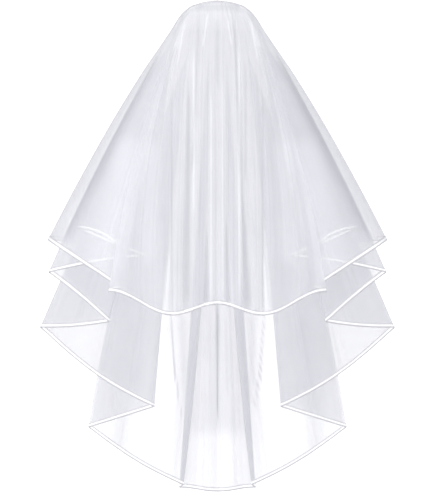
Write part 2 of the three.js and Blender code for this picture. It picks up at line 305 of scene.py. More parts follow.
def fine_grid(tier):
    """The main form on a fine grid, with each column's place along the hem and each row's down the net."""
    main = tier_grid(tier)
    hem = np.linalg.norm(np.diff(main[:, -1], axis=0), axis=-1)
    steps = [int(np.clip(round(long / tier["cell"]), FEWEST_CELLS, MOST_CELLS)) for long in hem]
    steps[0] = steps[-1] = RIBBON_CELLS
    wide = smooth_between(main, steps)
    grid = smooth_between(np.swapaxes(wide, 0, 1), ROW_STEPS)
    grid = np.swapaxes(grid, 0, 1)
    along = np.concatenate([[0], np.cumsum(np.linalg.norm(np.diff(grid[:, -1], axis=0), axis=-1))])
    along -= along[-1] / 2
    down = np.concatenate([
        np.zeros((len(grid), 1)),
        np.cumsum(np.linalg.norm(np.diff(grid, axis=1), axis=-1), axis=1),
    ], axis=1)
    return grid, along, down


# A crease's width where it starts, how sharp it is, and where it grows and fades, as shares of the net
CREASE_START_WIDE = 0.35
CREASE_SHARP = 1.6
CREASE_GROWS = (-0.06, 0.08)
CREASE_FADES = (-0.05, 0.12)


def crease_push(tier, along, down):
    """How far each point of the fine grid stands out of the main form, for the creases of the net."""
    push = np.zeros(down.shape)
    total = down[:, -1:]
    for place, start, end, half, deep, drift in tier["creases"]:
        share = np.clip((down / total - start) / (end - start), 0, 1)
        middle = place + drift * share
        wide = half * lerp(CREASE_START_WIDE, 1, share)
        reach = np.abs(along[:, None] - middle) / wide
        shape = np.clip(1 - reach, 0, 1) ** CREASE_SHARP
        grown = smoothstep(down / total, *(start + reach for reach in CREASE_GROWS))
        faded = 1 - smoothstep(down / total, *(end + reach for reach in CREASE_FADES)) if end < 1 else 1
        push += deep * shape * grown * faded
    return push


# How softly a band's stretch of the hem ends, and the shares of its length at which it starts and ends
BAND_EDGE = 4
BAND_STARTS = (-0.04, 0.12)
BAND_ENDS = (0.9, 1.06)


def band_values(tier, grid, along):
    """The extra density, painted light and shade, and push of the tier's bands at each point of the fine
    grid.
    """
    values = np.zeros((3, *grid.shape[:2]))
    drop = CROWN_TOP - grid[..., 2]
    for near, far, bands in tier["bands"]:
        within = smoothstep(np.abs(along), near - BAND_EDGE, near) if near else 1
        within = within * (1 - smoothstep(np.abs(along), far, far + BAND_EDGE))
        for x0, drop0, x1, drop1, half0, half1, *amounts in bands:
            share = (drop - drop0) / (drop1 - drop0)
            held = np.clip(share, 0, 1)
            reach = np.clip(np.abs(grid[..., 0] - lerp(x0, x1, held)) / lerp(half0, half1, held), 0, 1)
            ends = smoothstep(share, *BAND_STARTS) * (1 - smoothstep(share, *BAND_ENDS))
            shape = (1 - reach * reach) ** 2 * ends * np.broadcast_to(within, along.shape)[:, None]
            for value, amount in zip(values, amounts):
                value += amount * shape
    return values


# The gathers' sharpness, the least and the most of their length, depth and spacing, and where they start
GATHER_SHARP = 1.5
GATHER_LONG = (55, 190)
GATHER_DEEP = (0.15, 0.5)
GATHER_APART = (0.8, 1.3)
GATHER_STARTS = (-4, 10)


def gather_push(tier, along, down, seed):
    """The small uneven gathers of the net, deep at the comb and gone below the crown."""
    rng = random.Random(seed)
    edge = along[-1]
    push = np.zeros(down.shape)
    place = -edge
    side = 1
    while place < edge:
        half = rng.uniform(*tier["gather_wide"])
        reach = np.abs(along - place) / half
        shape = (np.clip(1 - reach, 0, 1) ** GATHER_SHARP)[:, None]
        long = rng.uniform(*GATHER_LONG)
        fade = np.exp(-down / long) * smoothstep(down, *GATHER_STARTS)
        push += side * rng.uniform(*GATHER_DEEP) * shape * fade
        place += half * rng.uniform(*GATHER_APART)
        side = -side
    return push


# Creases of each tier: place along the hem, where they start and end down the net, half width, depth
# and drift. A negative depth stands out at the front.
TOP_CREASES = [
    (-6, 0.10, 0.55, 9, 1.2, 4),
    (12, 0.16, 1.0, 8, -1.5, -3),
    (-24, 0.30, 1.0, 9, 1.8, 3),
    (31, 0.42, 1.0, 7, 1.6, -5),
    (-43, 0.12, 1.0, 8, -2.0, -3),
    (47, 0.06, 0.9, 9, -1.8, 4),
    (-62, 0.36, 1.0, 10, 1.7, 3),
    (66, 0.22, 1.0, 8, 1.9, -2),
    (-88, 0.15, 1.0, 7, 2.0, -4),
    (93, 0.18, 1.0, 9, 1.7, 2),
    (-112, 0.24, 0.9, 12, -1.6, 5),
    (118, 0.30, 1.0, 12, -1.5, -4),
    (-141, 0.12, 1.0, 14, 1.4, 2),
    (147, 0.10, 0.85, 15, 1.5, 3),
    (-178, 0.2, 1.0, 12, -1.5, 4),
    (183, 0.26, 1.0, 13, -1.4, -3),
    (-262, 0.2, 1.0, 16, -1.8, -6),
    (268, 0.12, 0.9, 18, -1.7, 6),
    (-318, 0.3, 1.0, 14, 1.6, 5),
    (309, 0.24, 1.0, 15, 1.6, -5),
    (-391, 0.3, 1.0, 18, -1.5, 3),
    (402, 0.2, 1.0, 17, -1.6, 4),
    (-455, 0.36, 1.0, 15, 1.3, -5),
    (461, 0.3, 1.0, 16, 1.4, -4),
    (-520, 0.24, 1.0, 17, -1.4, 4),
    (512, 0.35, 1.0, 16, -1.3, 5),
]
LOWER_CREASES = [
    (-7, 0.3, 1.0, 8, -1.8, 3),
    (9, 0.24, 1.0, 9, 1.6, -4),
    (-26, 0.36, 1.0, 10, 1.5, -3),
    (31, 0.3, 1.0, 9, -1.6, 4),
    (-49, 0.2, 1.0, 9, -1.5, 3),
    (52, 0.42, 1.0, 10, 1.6, -2),
    (-120, 0.35, 1.0, 16, 1.6, 6),
    (132, 0.3, 1.0, 15, -1.7, -5),
    (-176, 0.4, 1.0, 18, -1.6, 4),
    (181, 0.38, 1.0, 16, 1.4, 6),
    (-228, 0.3, 1.0, 14, 1.7, 4),
    (233, 0.45, 1.0, 16, 1.6, -4),
    (-345, 0.35, 1.0, 16, -1.6, 5),
    (352, 0.3, 1.0, 18, 1.5, 6),
    (-470, 0.35, 1.0, 18, 1.7, -6),
    (482, 0.42, 1.0, 17, -1.6, 4),
    (-548, 0.3, 1.0, 16, -1.5, 5),
    (561, 0.36, 1.0, 18, 1.7, -5),
    (-660, 0.4, 1.0, 17, 1.6, 4),
    (668, 0.3, 1.0, 16, -1.6, 5),
    (-760, 0.35, 1.0, 15, -1.5, 5),
    (772, 0.4, 1.0, 17, 1.5, -4),
    (-880, 0.3, 1.0, 16, 1.6, 4),
    (891, 0.36, 1.0, 17, -1.5, 5),
    (-1010, 0.35, 1.0, 16, 1.5, -5),
    (1022, 0.3, 1.0, 17, 1.4, 4),
]
# How much of their depth the creases keep, and of all the push at the comb and how far down it is whole
CREASE_HANGING = 0.8
CREASE_AT_COMB = 0.35
CREASE_WHOLE_AT = 60
# How much denser the net looks where it bends, and the most that this may add
BEND_DENSE = 1.2
BEND_DENSE_MOST = 0.5

# Pinches and soft bands of the net, each with x and drop where it starts and ends, its half width at
# both, how much denser the net is there, how much painted light (more) or painted shade (less) it
# gets, and how far back it is pushed. The map paints light on ridges, the crown and bands at the
# sides, and paints shade in troughs and strips.
# Each list holds for a stretch of the hem, from and to a distance from its middle.
TOP_BANDS = [
    (0, 205, [
        (-16.6, 22, -25.4, 80, 2.2, 2.6, 0, 0.6, -0.4),
        (17.9, 33, 24.5, 78, 2.2, 2.6, 0, 0.6, -0.4),
        (-56.9, 34, -69.8, 112, 2.4, 2.8, 0, 0.5, -0.4),
        (56.9, 30, 70.5, 106, 2.4, 2.8, 0, 0.5, -0.4),
        (-41, 84, -41, 372, 3.2, 4.2, 0, 0.6, -0.8),
        (37.6, 58, 38, 525, 3, 4, 0, 0.6, -0.8),
        (-11.4, 150, -11, 530, 2.5, 3.4, 0, 0.5, -0.5),
        (8.8, 130, 9, 530, 2.5, 3.2, 0, 0.5, -0.5),
        (0, 28, 0, 150, 5, 5, 0.25, -0.4, 0.6),
        (-32, 22, -44, 300, 4, 5, 0.3, -0.4, 0.8),
        (29, 28, 42, 311, 4, 5, 0.3, -0.4, 0.8),
        (-50, 137, -54, 545, 4, 11.5, 0.5, -0.6, 1.3),
        (-18.4, 395, -21, 545, 2, 9.6, 0.5, -0.55, 1.1),
        (14.9, 381, 18.4, 545, 2, 8.8, 0.5, -0.55, 1.1),
        (41.8, 305, 53.4, 545, 2, 12.3, 0.5, -0.6, 1.3),
        (-80, 150, -78, 548, 2.4, 3.2, 0.45, -0.45, 0.7),
        (78.6, 160, 78.6, 548, 2.4, 3.2, 0.45, -0.45, 0.7),
        (49.4, 108, 49, 311, 2.6, 3.6, 0.3, -0.4, 0.6),
        (-84, 440, -90, 548, 2, 7, 0, 0.7, -0.5),
        (80, 448, 87, 548, 2, 6, 0, 0.7, -0.5),
        (-103, 150, -178, 500, 18, 18, 0, 0.12, 0),
        (103, 156, 178, 500, 18, 17, 0, 0.12, 0),
        (0, -40, 0, 30, 130, 130, 0, 0.3, 0),
        (0, -40, 0, 50, 130, 130, 0, 0.3, 0),
        (-58, 20, -74, 84, 13, 15, 0, 0.35, 0),
        (60, 22, 75, 80, 14, 14, 0, 0.35, 0),
        (-112, 240, -122, 460, 22, 22, 0, 0.3, 0),
        (112, 240, 122, 460, 22, 22, 0, 0.3, 0),
    ]),
    (205, 400, [
        (-150, 230, -214, 500, 30, 52, 0, 0.45, 0),
        (150, 236, 214, 500, 30, 50, 0, 0.45, 0),
        (-108, 80, -288, 424, 26, 48, 1.2, -1.0, 0),
        (108, 86, 288, 424, 25, 46, 1.2, -1.0, 0),
    ]),
]
LOWER_BANDS = [
    (0, 66, [
        (0, 525, 0, 730, 4, 2.4, 2.2, -0.7, 0.8),
        (-13, 540, -15, 700, 2.4, 2.2, 0.5, -0.2, 0.6),
        (15, 540, 17, 690, 2.4, 2.2, 0.4, -0.2, 0.6),
        (0, 480, 0, 770, 90, 90, 0.45, 0.1, 0),
        (0, 748, 0, 930, 90, 90, -0.15, 0.5, 0),
    ]),
    (58, 92, [
        (-38, 540, -64, 852, 16, 9, 0.7, -0.4, 0),
        (38, 540, 64, 852, 16, 9, 0.7, -0.4, 0),
    ]),
    (92, 300, [
        (-81.4, 545, -74.4, 658, 2.2, 2.2, 1.3, -0.5, 0.6),
        (-74.4, 650, -63.9, 722, 2.2, 1.8, 1.3, -0.5, 0.6),
        (81.4, 545, 73.8, 662, 2.2, 2.2, 1.3, -0.5, 0.6),
        (73.8, 655, 64, 716, 2.2, 1.8, 1.3, -0.5, 0.6),
        (-104, 400, -120, 900, 40, 70, -0.4, 0.8, 0),
        (104, 400, 120, 900, 40, 70, -0.4, 0.8, 0),
        (-190, 500, -230, 800, 60, 60, -0.35, 0.4, 0),
        (190, 500, 230, 800, 60, 60, -0.35, 0.4, 0),
        (-64, 540, -56, 715, 14, 6, 0.5, -0.1, 0),
        (64, 540, 56, 708, 14, 6, 0.5, -0.1, 0),
    ]),
]

TIERS = {
    "top": {
        "folds": TOP_FOLDS, "pleats": TOP_PLEATS, "creases": TOP_CREASES, "stand": 0.9, "rise": (28.5, 9),
        "shoulder": (18, 1), "cell": 2.4, "gather_wide": (5, 11), "seed": 11,
        "side": ("gather", COMB_HALF), "bands": TOP_BANDS, "painted_shading": 0.0, "from": 0, "way": 1,
    },
    "lower": {
        "folds": LOWER_FOLDS, "pleats": LOWER_PLEATS, "creases": LOWER_CREASES, "stand": -1.8,
        "rise": (10, 6.5), "shoulder": (6, -4), "cell": 4.0, "gather_wide": (8, 18), "seed": 23,
        # Painted shade: the lower tier's whole net is set a little darker than the top tier's
        "side": ("head", CROWN_HALF), "bands": LOWER_BANDS, "painted_shading": -0.17, "from": 232, "way": -1,
    },
}


# Materials

# The width of a hole of the net in metres, and lines of the weaves to a metre
NET_MESH = 0.0016
SATIN_LINES = 1800.0
THREAD_LINES = 900
# Where the three waves of the net meet low enough to be thread, from its edge to its middle
THREAD_EDGE = -0.2
THREAD_MIDDLE = -1.0


def socket_group(name, inputs, outputs):
    """A new shader node group with its named inputs and outputs."""
    group = bpy.data.node_groups.new(name, "ShaderNodeTree")
    for label, kind, value in inputs:
        socket = group.interface.new_socket(label, in_out="INPUT", socket_type=kind)
        if value is not None:
            socket.default_value = value
    for label, kind in outputs:
        group.interface.new_socket(label, in_out="OUTPUT", socket_type=kind)
    return group, group.nodes.new("NodeGroupInput"), group.nodes.new("NodeGroupOutput")


def math_node(tree, kind, *values):
    node = tree.nodes.new("ShaderNodeMath")
    node.operation = kind
    for socket, value in zip(node.inputs, values):
        if isinstance(value, (int, float)):
            socket.default_value = value
        else:
            tree.links.new(value, socket)
    return node.outputs[0]


def hexagon_net_group():
    """Threads round six-sided holes, as on bobbin net, from a map in metres. Mesh is the width of a hole."""
    group, given, out = socket_group(
        "hexagon_net",
        [("Cloth", "NodeSocketVector", None), ("Mesh", "NodeSocketFloat", NET_MESH)],
        [("Thread", "NodeSocketFloat")],
    )
    waves = []
    for degrees in (0, 60, 120):
        turn = math.radians(degrees)
        dot = group.nodes.new("ShaderNodeVectorMath")
        dot.operation = "DOT_PRODUCT"
        group.links.new(given.outputs["Cloth"], dot.inputs[0])
        dot.inputs[1].default_value = (math.cos(turn), math.sin(turn), 0)
        phase = math_node(group, "DIVIDE", dot.outputs["Value"], given.outputs["Mesh"])
        waves.append(math_node(group, "COSINE", math_node(group, "MULTIPLY", phase, 2 * math.pi)))
    total = math_node(group, "ADD", math_node(group, "ADD", waves[0], waves[1]), waves[2])
    edge = group.nodes.new("ShaderNodeMapRange")
    edge.interpolation_type = "SMOOTHSTEP"
    group.links.new(total, edge.inputs["Value"])
    edge.inputs["From Min"].default_value = THREAD_EDGE
    edge.inputs["From Max"].default_value = THREAD_MIDDLE
    group.links.new(edge.outputs["Result"], out.inputs["Thread"])
    return group


def fine_weave_group():
    """The fine diagonal lines of a satin face and a slow change of tone, from a map in metres."""
    group, given, out = socket_group(
        "fine_weave",
        [("Cloth", "NodeSocketVector", None), ("Lines", "NodeSocketFloat", SATIN_LINES)],
        [("Height", "NodeSocketFloat"), ("Tone", "NodeSocketFloat")],
    )
    wave = group.nodes.new("ShaderNodeTexWave")
    wave.bands_direction = "DIAGONAL"
    wave.inputs["Distortion"].default_value = 1.2
    group.links.new(given.outputs["Cloth"], wave.inputs["Vector"])
    group.links.new(given.outputs["Lines"], wave.inputs["Scale"])
    noise = group.nodes.new("ShaderNodeTexNoise")
    noise.inputs["Scale"].default_value = 45
    noise.inputs["Detail"].default_value = 3
    group.links.new(given.outputs["Cloth"], noise.inputs["Vector"])
    group.links.new(wave.outputs["Fac"], out.inputs["Height"])
    group.links.new(noise.outputs["Fac"], out.inputs["Tone"])
    return group


HEXAGON_NET = hexagon_net_group()
FINE_WEAVE = fine_weave_group()


def new_material(name):
    material = bpy.data.materials.new(name)
    material.use_nodes = True
    return material, material.node_tree, material.node_tree.nodes["Principled BSDF"]


def cloth_map(tree):
    node = tree.nodes.new("ShaderNodeUVMap")
    node.uv_map = "cloth"
    return node.outputs["UV"]


def placed(tree, group):
    node = tree.nodes.new("ShaderNodeGroup")
    node.node_tree = group
    return node


def ramp(tree, value, low, high):
    """A colour between two, by a value from 0 to 1."""
    node = tree.nodes.new("ShaderNodeValToRGB")
    node.color_ramp.elements[0].color = (*low, 1)
    node.color_ramp.elements[1].color = (*high, 1)
    tree.links.new(value, node.inputs["Fac"])
    return node.outputs["Color"]


def spread_value(tree, value, low, high):
    node = tree.nodes.new("ShaderNodeMapRange")
    tree.links.new(value, node.inputs["Value"])
    node.inputs["To Min"].default_value = low
    node.inputs["To Max"].default_value = high
    return node.outputs["Result"]


NET_HOLE_ALPHA = 0.5
NET_THREAD_ALPHA = 0.86
# Ends of the net's colour, from painted shade to painted light, picked between by the map of painted light
# and shade
NET_SHADE = (0.44, 0.44, 0.47)
NET_LIGHT = (0.92, 0.92, 0.95)
NET_UNEVEN = 0.08


def attribute(tree, name):
    node = tree.nodes.new("ShaderNodeAttribute")
    node.attribute_name = name
    return node.outputs["Fac"]


def net_material():
    """Soft white net. Two maps on each sheet make it denser where it is pinched or bent, and lighter or
    darker with painted light and shade.
    """
    material, tree, shader = new_material("soft_white_net")
    net = placed(tree, HEXAGON_NET)
    net.inputs["Mesh"].default_value = NET_MESH
    tree.links.new(cloth_map(tree), net.inputs["Cloth"])
    noise = tree.nodes.new("ShaderNodeTexNoise")
    noise.inputs["Scale"].default_value = 14
    noise.inputs["Detail"].default_value = 4
    tree.links.new(cloth_map(tree), noise.inputs["Vector"])
    uneven = spread_value(tree, noise.outputs["Fac"], -NET_UNEVEN, NET_UNEVEN)
    # Painted light and shade: a map lightens the net on ridges and bands and darkens it in troughs and
    # strips, with a little random tone
    tone = math_node(tree, "ADD", attribute(tree, "painted_shading"), uneven)
    tree.links.new(ramp(tree, tone, NET_SHADE, NET_LIGHT), shader.inputs["Base Color"])
    mesh = spread_value(tree, net.outputs["Thread"], NET_HOLE_ALPHA, NET_THREAD_ALPHA)
    clear = math_node(tree, "SUBTRACT", 1, mesh)
    dense = math_node(tree, "POWER", clear, attribute(tree, "dense"))
    tree.links.new(math_node(tree, "SUBTRACT", 1, dense), shader.inputs["Alpha"])
    bump = tree.nodes.new("ShaderNodeBump")
    bump.inputs["Distance"].default_value = 0.0001
    bump.inputs["Strength"].default_value = 0.4
    tree.links.new(net.outputs["Thread"], bump.inputs["Height"])
    tree.links.new(bump.outputs["Normal"], shader.inputs["Normal"])
    shader.inputs["Roughness"].default_value = 0.9
    shader.inputs["Specular IOR Level"].default_value = 0.1
    shader.inputs["Sheen Weight"].default_value = 0.1
    return material


# Painted shade along the ribbon's edges, as shares of its width from each edge
EDGE_SHADE_FROM = 0.24
EDGE_SHADE_TO = 0.31
EDGE_SHADE_TONE = (0.6, 0.6, 0.615, 1)
SATIN_SHADE = (0.95, 0.95, 0.96)
SATIN_LIGHT = (1, 1, 1)
SATIN_ROUGHNESS = (0.32, 0.5)
THREAD_SHADE = (0.84, 0.84, 0.87)
THREAD_LIGHT = (0.97, 0.97, 0.98)
COMB_SHADE = (0.86, 0.87, 0.88)
COMB_LIGHT = (0.94, 0.94, 0.95)
COMB_ROUGHNESS = (0.1, 0.3)
COMB_IOR = 1.49
COMB_CLEAR = 0.45


def satin_material():
    """White satin, with painted shade along its edges where the rolled ribbon turns from the light."""
    material, tree, shader = new_material("white_satin")
    weave = placed(tree, FINE_WEAVE)
    weave.inputs["Lines"].default_value = SATIN_LINES
    tree.links.new(cloth_map(tree), weave.inputs["Cloth"])
    satin = ramp(tree, weave.outputs["Tone"], SATIN_SHADE, SATIN_LIGHT)
    parts = tree.nodes.new("ShaderNodeSeparateXYZ")
    tree.links.new(cloth_map(tree), parts.inputs[0])
    turns = math_node(tree, "DIVIDE", parts.outputs["Y"], RIBBON_WIDE * MM)
    from_edge = math_node(tree, "PINGPONG", turns, 0.5)
    edge = tree.nodes.new("ShaderNodeMapRange")
    edge.interpolation_type = "SMOOTHSTEP"
    tree.links.new(from_edge, edge.inputs["Value"])
    edge.inputs["From Min"].default_value = EDGE_SHADE_FROM
    edge.inputs["From Max"].default_value = EDGE_SHADE_TO
    # Painted shade: the satin turns grey near both edges of each face
    mix = tree.nodes.new("ShaderNodeMix")
    mix.data_type = "RGBA"
    tree.links.new(edge.outputs["Result"], mix.inputs["Factor"])
    mix.inputs["A"].default_value = EDGE_SHADE_TONE
    tree.links.new(satin, mix.inputs["B"])
    tree.links.new(mix.outputs["Result"], shader.inputs["Base Color"])
    roughness = spread_value(tree, weave.outputs["Tone"], *SATIN_ROUGHNESS)
    tree.links.new(roughness, shader.inputs["Roughness"])
    bump = tree.nodes.new("ShaderNodeBump")
    bump.inputs["Distance"].default_value = 0.00005
    bump.inputs["Strength"].default_value = 0.3
    tree.links.new(weave.outputs["Height"], bump.inputs["Height"])
    tree.links.new(bump.outputs["Normal"], shader.inputs["Normal"])
    shader.inputs["Sheen Weight"].default_value = 0.2
    return material


def thread_material():
    material, tree, shader = new_material("white_sewing_thread")
    place = tree.nodes.new("ShaderNodeTexCoord")
    wave = tree.nodes.new("ShaderNodeTexWave")
    wave.bands_direction = "DIAGONAL"
    wave.inputs["Scale"].default_value = THREAD_LINES
    tree.links.new(place.outputs["Object"], wave.inputs["Vector"])
    twist = ramp(tree, wave.outputs["Fac"], THREAD_SHADE, THREAD_LIGHT)
    tree.links.new(twist, shader.inputs["Base Color"])
    shader.inputs["Roughness"].default_value = 0.6
    return material


def comb_material():
    material, tree, shader = new_material("clear_comb_plastic")
    place = tree.nodes.new("ShaderNodeTexCoord")
    noise = tree.nodes.new("ShaderNodeTexNoise")
    noise.inputs["Scale"].default_value = 160
    noise.inputs["Detail"].default_value = 5
    tree.links.new(place.outputs["Object"], noise.inputs["Vector"])
    tone = ramp(tree, noise.outputs["Fac"], COMB_SHADE, COMB_LIGHT)
    tree.links.new(tone, shader.inputs["Base Color"])
    roughness = spread_value(tree, noise.outputs["Fac"], *COMB_ROUGHNESS)
    tree.links.new(roughness, shader.inputs["Roughness"])
    shader.inputs["IOR"].default_value = COMB_IOR
    shader.inputs["Transmission Weight"].default_value = COMB_CLEAR
    return material


SOFT_NET = net_material()
SATIN = satin_material()
THREAD = thread_material()
COMB_PLASTIC = comb_material()


# Pieces


def finished(name, bm, material, node=None):
    """A finished piece from a bmesh, on the veil's one body."""
    mesh = bpy.data.meshes.new(name)
    bm.to_mesh(mesh)
    bm.free()
    mesh.materials.append(material)
    for face in mesh.polygons:
        face.use_smooth = True
    piece = bpy.data.objects.new(name, mesh)
    bpy.context.scene.collection.objects.link(piece)
    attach(piece, "root")
    if node:
        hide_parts(node)
    return piece


def grid_sheet(points, map_x, map_y):
    """A sheet through a grid of points in metres, with its map of the flat cloth, and each vertex's place."""
    columns, rows = points.shape[:2]
    bm = bmesh.new()
    bmesh.ops.create_grid(bm, x_segments=columns - 1, y_segments=rows - 1, size=1)
    bm.verts.ensure_lookup_table()
    place = {}
    for v in bm.verts:
        place[v.index] = (
            round((v.co.x + 1) * (columns - 1) / 2),
            round((v.co.y + 1) * (rows - 1) / 2),
        )
    cloth = bm.loops.layers.uv.new("cloth")
    for face in bm.faces:
        for loop in face.loops:
            at = place[loop.vert.index]
            loop[cloth].uv = (map_x[at], map_y[at])
    for v in bm.verts:
        v.co = Vector(points[place[v.index]])
    return bm, place


def tier_points(tier):
    """The net's points with all its creases, its normals, and the flat cloth's two sizes at each point."""
    grid, along, down = fine_grid(tier)
    dense, painted_shading, banded = band_values(tier, grid, along)
    push = crease_push(tier, along, down) * CREASE_HANGING + gather_push(tier, along, down, tier["seed"])
    push = (push + banded) * lerp(CREASE_AT_COMB, 1, smoothstep(down, 0, CREASE_WHOLE_AT))
    points = grid + grid_normals(grid) * push[..., None]
    bend = np.abs(np.gradient(np.gradient(push, axis=0), axis=0))
    dense = 1 + dense + np.clip(bend * BEND_DENSE, 0, BEND_DENSE_MOST)
    # Painted light and shade, with the tier's own painted offset, as a share from the net's shade colour to
    # its light colour
    painted_shading = np.clip(0.5 + 0.5 * (tier["painted_shading"] + painted_shading), 0, 1)
    return points, grid_normals(points), along, down, dense, painted_shading


def net_sheet(name, tier):
    points, normals, along, down, dense, painted_shading = tier_points(tier)
    flat = np.broadcast_to(along[:, None], down.shape)
    bm, place = grid_sheet(points * MM, flat * MM, down * MM)
    # The net's density and its painted light and shade go on each vertex
    for layer_name, values in (("dense", dense), ("painted_shading", painted_shading)):
        layer = bm.verts.layers.float.new(layer_name)
        for v in bm.verts:
            v[layer] = values[place[v.index]]
    piece = finished(name, bm, SOFT_NET, name.replace("_net", "_tier"))
    # Net this fine casts next to no shadow on its own layers
    piece.visible_shadow = False
    return piece, points, normals


# Points across the ribbon, from its sewn edge round the edge of the net and back: share and height
RIBBON_ACROSS = [
    (0.0, 0), (0.03, -0.4), (0.3, -0.75), (0.65, -0.8), (0.95, -0.6), (1.07, 0),
    (0.95, 0.6), (0.65, 0.8), (0.3, 0.75), (0.03, 0.4), (0.0, 0),
]
# Which of them is on the back face, where the ribbon's length is measured, and which is its turn
RIBBON_MEASURED = 3
RIBBON_TURN = 5


def edge_stations(points):
    """Pairs of places on the net's grid along its free edge: the ribbon's sewn edge and the net's own."""
    last, hem, cells = points.shape[0] - 1, points.shape[1] - 1, RIBBON_CELLS
    first_row = sum(ROW_STEPS[:RIBBON_ROW])
    seam = hem - cells
    stations = [((cells, j), (0, j)) for j in range(first_row, seam)]
    stations += [((cells, seam), (0, seam + m)) for m in range(cells)]
    stations += [((cells, seam), (m, hem)) for m in range(cells)]
    stations += [((i, seam), (i, hem)) for i in range(cells, last - cells)]
    stations += [((last - cells, seam), (last - cells + m, hem)) for m in range(cells)]
    stations += [((last - cells, seam), (last, hem - m)) for m in range(cells)]
    stations += [((last - cells, j), (last, j)) for j in range(seam, first_row - 1, -1)]
    return stations


def sampled(values, place):
    i, j = place
    a = min(int(i), values.shape[0] - 2)
    b = min(int(j), values.shape[1] - 2)
    u, v = i - a, j - b
    return lerp(lerp(values[a, b], values[a + 1, b], u), lerp(values[a, b + 1], values[a + 1, b + 1], u), v)


def ribbon_band(name, points, normals, node):
    """Satin ribbon folded over the net's free edge, as a flat closed band round it."""
    stations = edge_stations(points)
    band = []
    for inner, outer in stations:
        row = []
        for share, height in RIBBON_ACROSS:
            place = lerp(np.array(inner, float), np.array(outer, float), min(share, 1))
            at = sampled(points, place)
            if share > 1:
                at = at + (at - sampled(points, inner)) * (share - 1)
            row.append(at + sampled(normals, place) * height)
        band.append(row)
    band = np.array(band) * MM
    run = np.concatenate([[0], np.cumsum(np.linalg.norm(np.diff(band[:, RIBBON_MEASURED], axis=0), axis=-1))])
    front = [min(share, 1) for share, _ in RIBBON_ACROSS[:RIBBON_TURN + 1]]
    across = np.array([*front, *(2 - share for share in front[-2::-1])]) * RIBBON_WIDE * MM
    shape = band.shape[:2]
    bm, _ = grid_sheet(band, np.broadcast_to(run[:, None], shape), np.broadcast_to(across, shape))
    bmesh.ops.remove_doubles(bm, verts=bm.verts, dist=WELD_REACH)
    bmesh.ops.holes_fill(bm, edges=[e for e in bm.edges if e.is_boundary], sides=0)
    bmesh.ops.recalc_face_normals(bm, faces=bm.faces)
    piece = finished(name, bm, SATIN, node)
    piece.visible_shadow = False
    return piece


def place_block(bm, at, along, out, long, wide, high):
    """One stitch: a small block along a line."""
    made = bmesh.ops.create_cube(bm, size=1)["verts"]
    side = out.cross(along).normalized()
    for v in made:
        x, y, z = v.co
        v.co = at + along * (x * long) + side * (y * wide) + out * (z * high)


# The stitches' spacing and sizes, how far they stand off the net, and their share of the way across
STITCH_STEP = 5.0
STITCH_LONG = 2.6
STITCH_WIDE = 0.24
STITCH_HIGH = 0.18
STITCH_OUT = 0.72
STITCH_AT = 0.16


def ribbon_stitches(name, points, normals):
    """A line of running stitches near the ribbon's sewn edge, on both its faces."""
    bm = bmesh.new()
    line = []
    for inner, outer in edge_stations(points):
        place = lerp(np.array(inner, float), np.array(outer, float), STITCH_AT)
        line.append((sampled(points, place), sampled(normals, place)))
    run = np.concatenate([[0], np.cumsum([np.linalg.norm(b[0] - a[0]) for a, b in zip(line, line[1:])])])
    spots = np.array([spot for spot, _ in line])
    outs = np.array([out for _, out in line])
    for s in np.arange(STITCH_STEP, run[-1] - STITCH_STEP, STITCH_STEP):
        at, ahead, out = (
            np.array([np.interp(where, run, values[:, k]) for k in range(3)])
            for where, values in ((s, spots), (s + 1, spots), (s, outs))
        )
        along = Vector(ahead - at).normalized()
        up = Vector(out).normalized()
        for face in (-1, 1):
            spot = Vector(at) + up * (face * STITCH_OUT)
            sizes = (STITCH_LONG * MM, STITCH_WIDE * MM, STITCH_HIGH * MM)
            place_block(bm, spot * MM, along, up, *sizes)
    bmesh.ops.recalc_face_normals(bm, faces=bm.faces)
    return finished(name, bm, THREAD)


SPINE_BACK = 3.2
SPINE_FRONT = 2.6
SPINE_ROUND = 1.1
SPINE_CELLS = 36
# The angle in radians between two faces from which their edge is rounded
SHARP_ANGLE = 0.8
TOOTH_COUNT = 17
TOOTH_LONG = 38
TOOTH_WIDE = 2.2
TOOTH_TIP = 1.0
TOOTH_THICK = 1.8
TOOTH_LEAN = 14
TOOTH_ROUND = 0.35
TOOTH_SIDES = 14


def bow_at(x):
    return COMB_BOW * (x / COMB_HALF) ** 2


def tooth_mesh():
    """One tapered tooth with a rounded end, leaning as it does below the middle of the spine."""
    bm = bmesh.new()
    bmesh.ops.create_cone(
        bm, cap_ends=True, segments=TOOTH_SIDES, depth=TOOTH_LONG * MM,
        radius1=TOOTH_TIP / 2 * MM, radius2=TOOTH_WIDE / 2 * MM,
    )
    end = [e for e in bm.edges if max(v.co.z for v in e.verts) < 0]
    bmesh.ops.bevel(
        bm, geom=end, offset=TOOTH_ROUND * MM, segments=2, profile=0.5, affect="EDGES", material=-1,
    )
    bmesh.ops.scale(bm, verts=bm.verts, vec=(1, TOOTH_THICK / TOOTH_WIDE, 1))
    bmesh.ops.translate(bm, verts=bm.verts, vec=(0, 0, -TOOTH_LONG / 2 * MM))
    turn = Matrix.Rotation(math.radians(-TOOTH_LEAN), 3, "X")
    bmesh.ops.rotate(bm, verts=bm.verts, cent=(0, 0, 0), matrix=turn)
    bmesh.ops.recalc_face_normals(bm, faces=bm.faces)
    mesh = bpy.data.meshes.new("tooth")
    bm.to_mesh(mesh)
    bm.free()
    return mesh


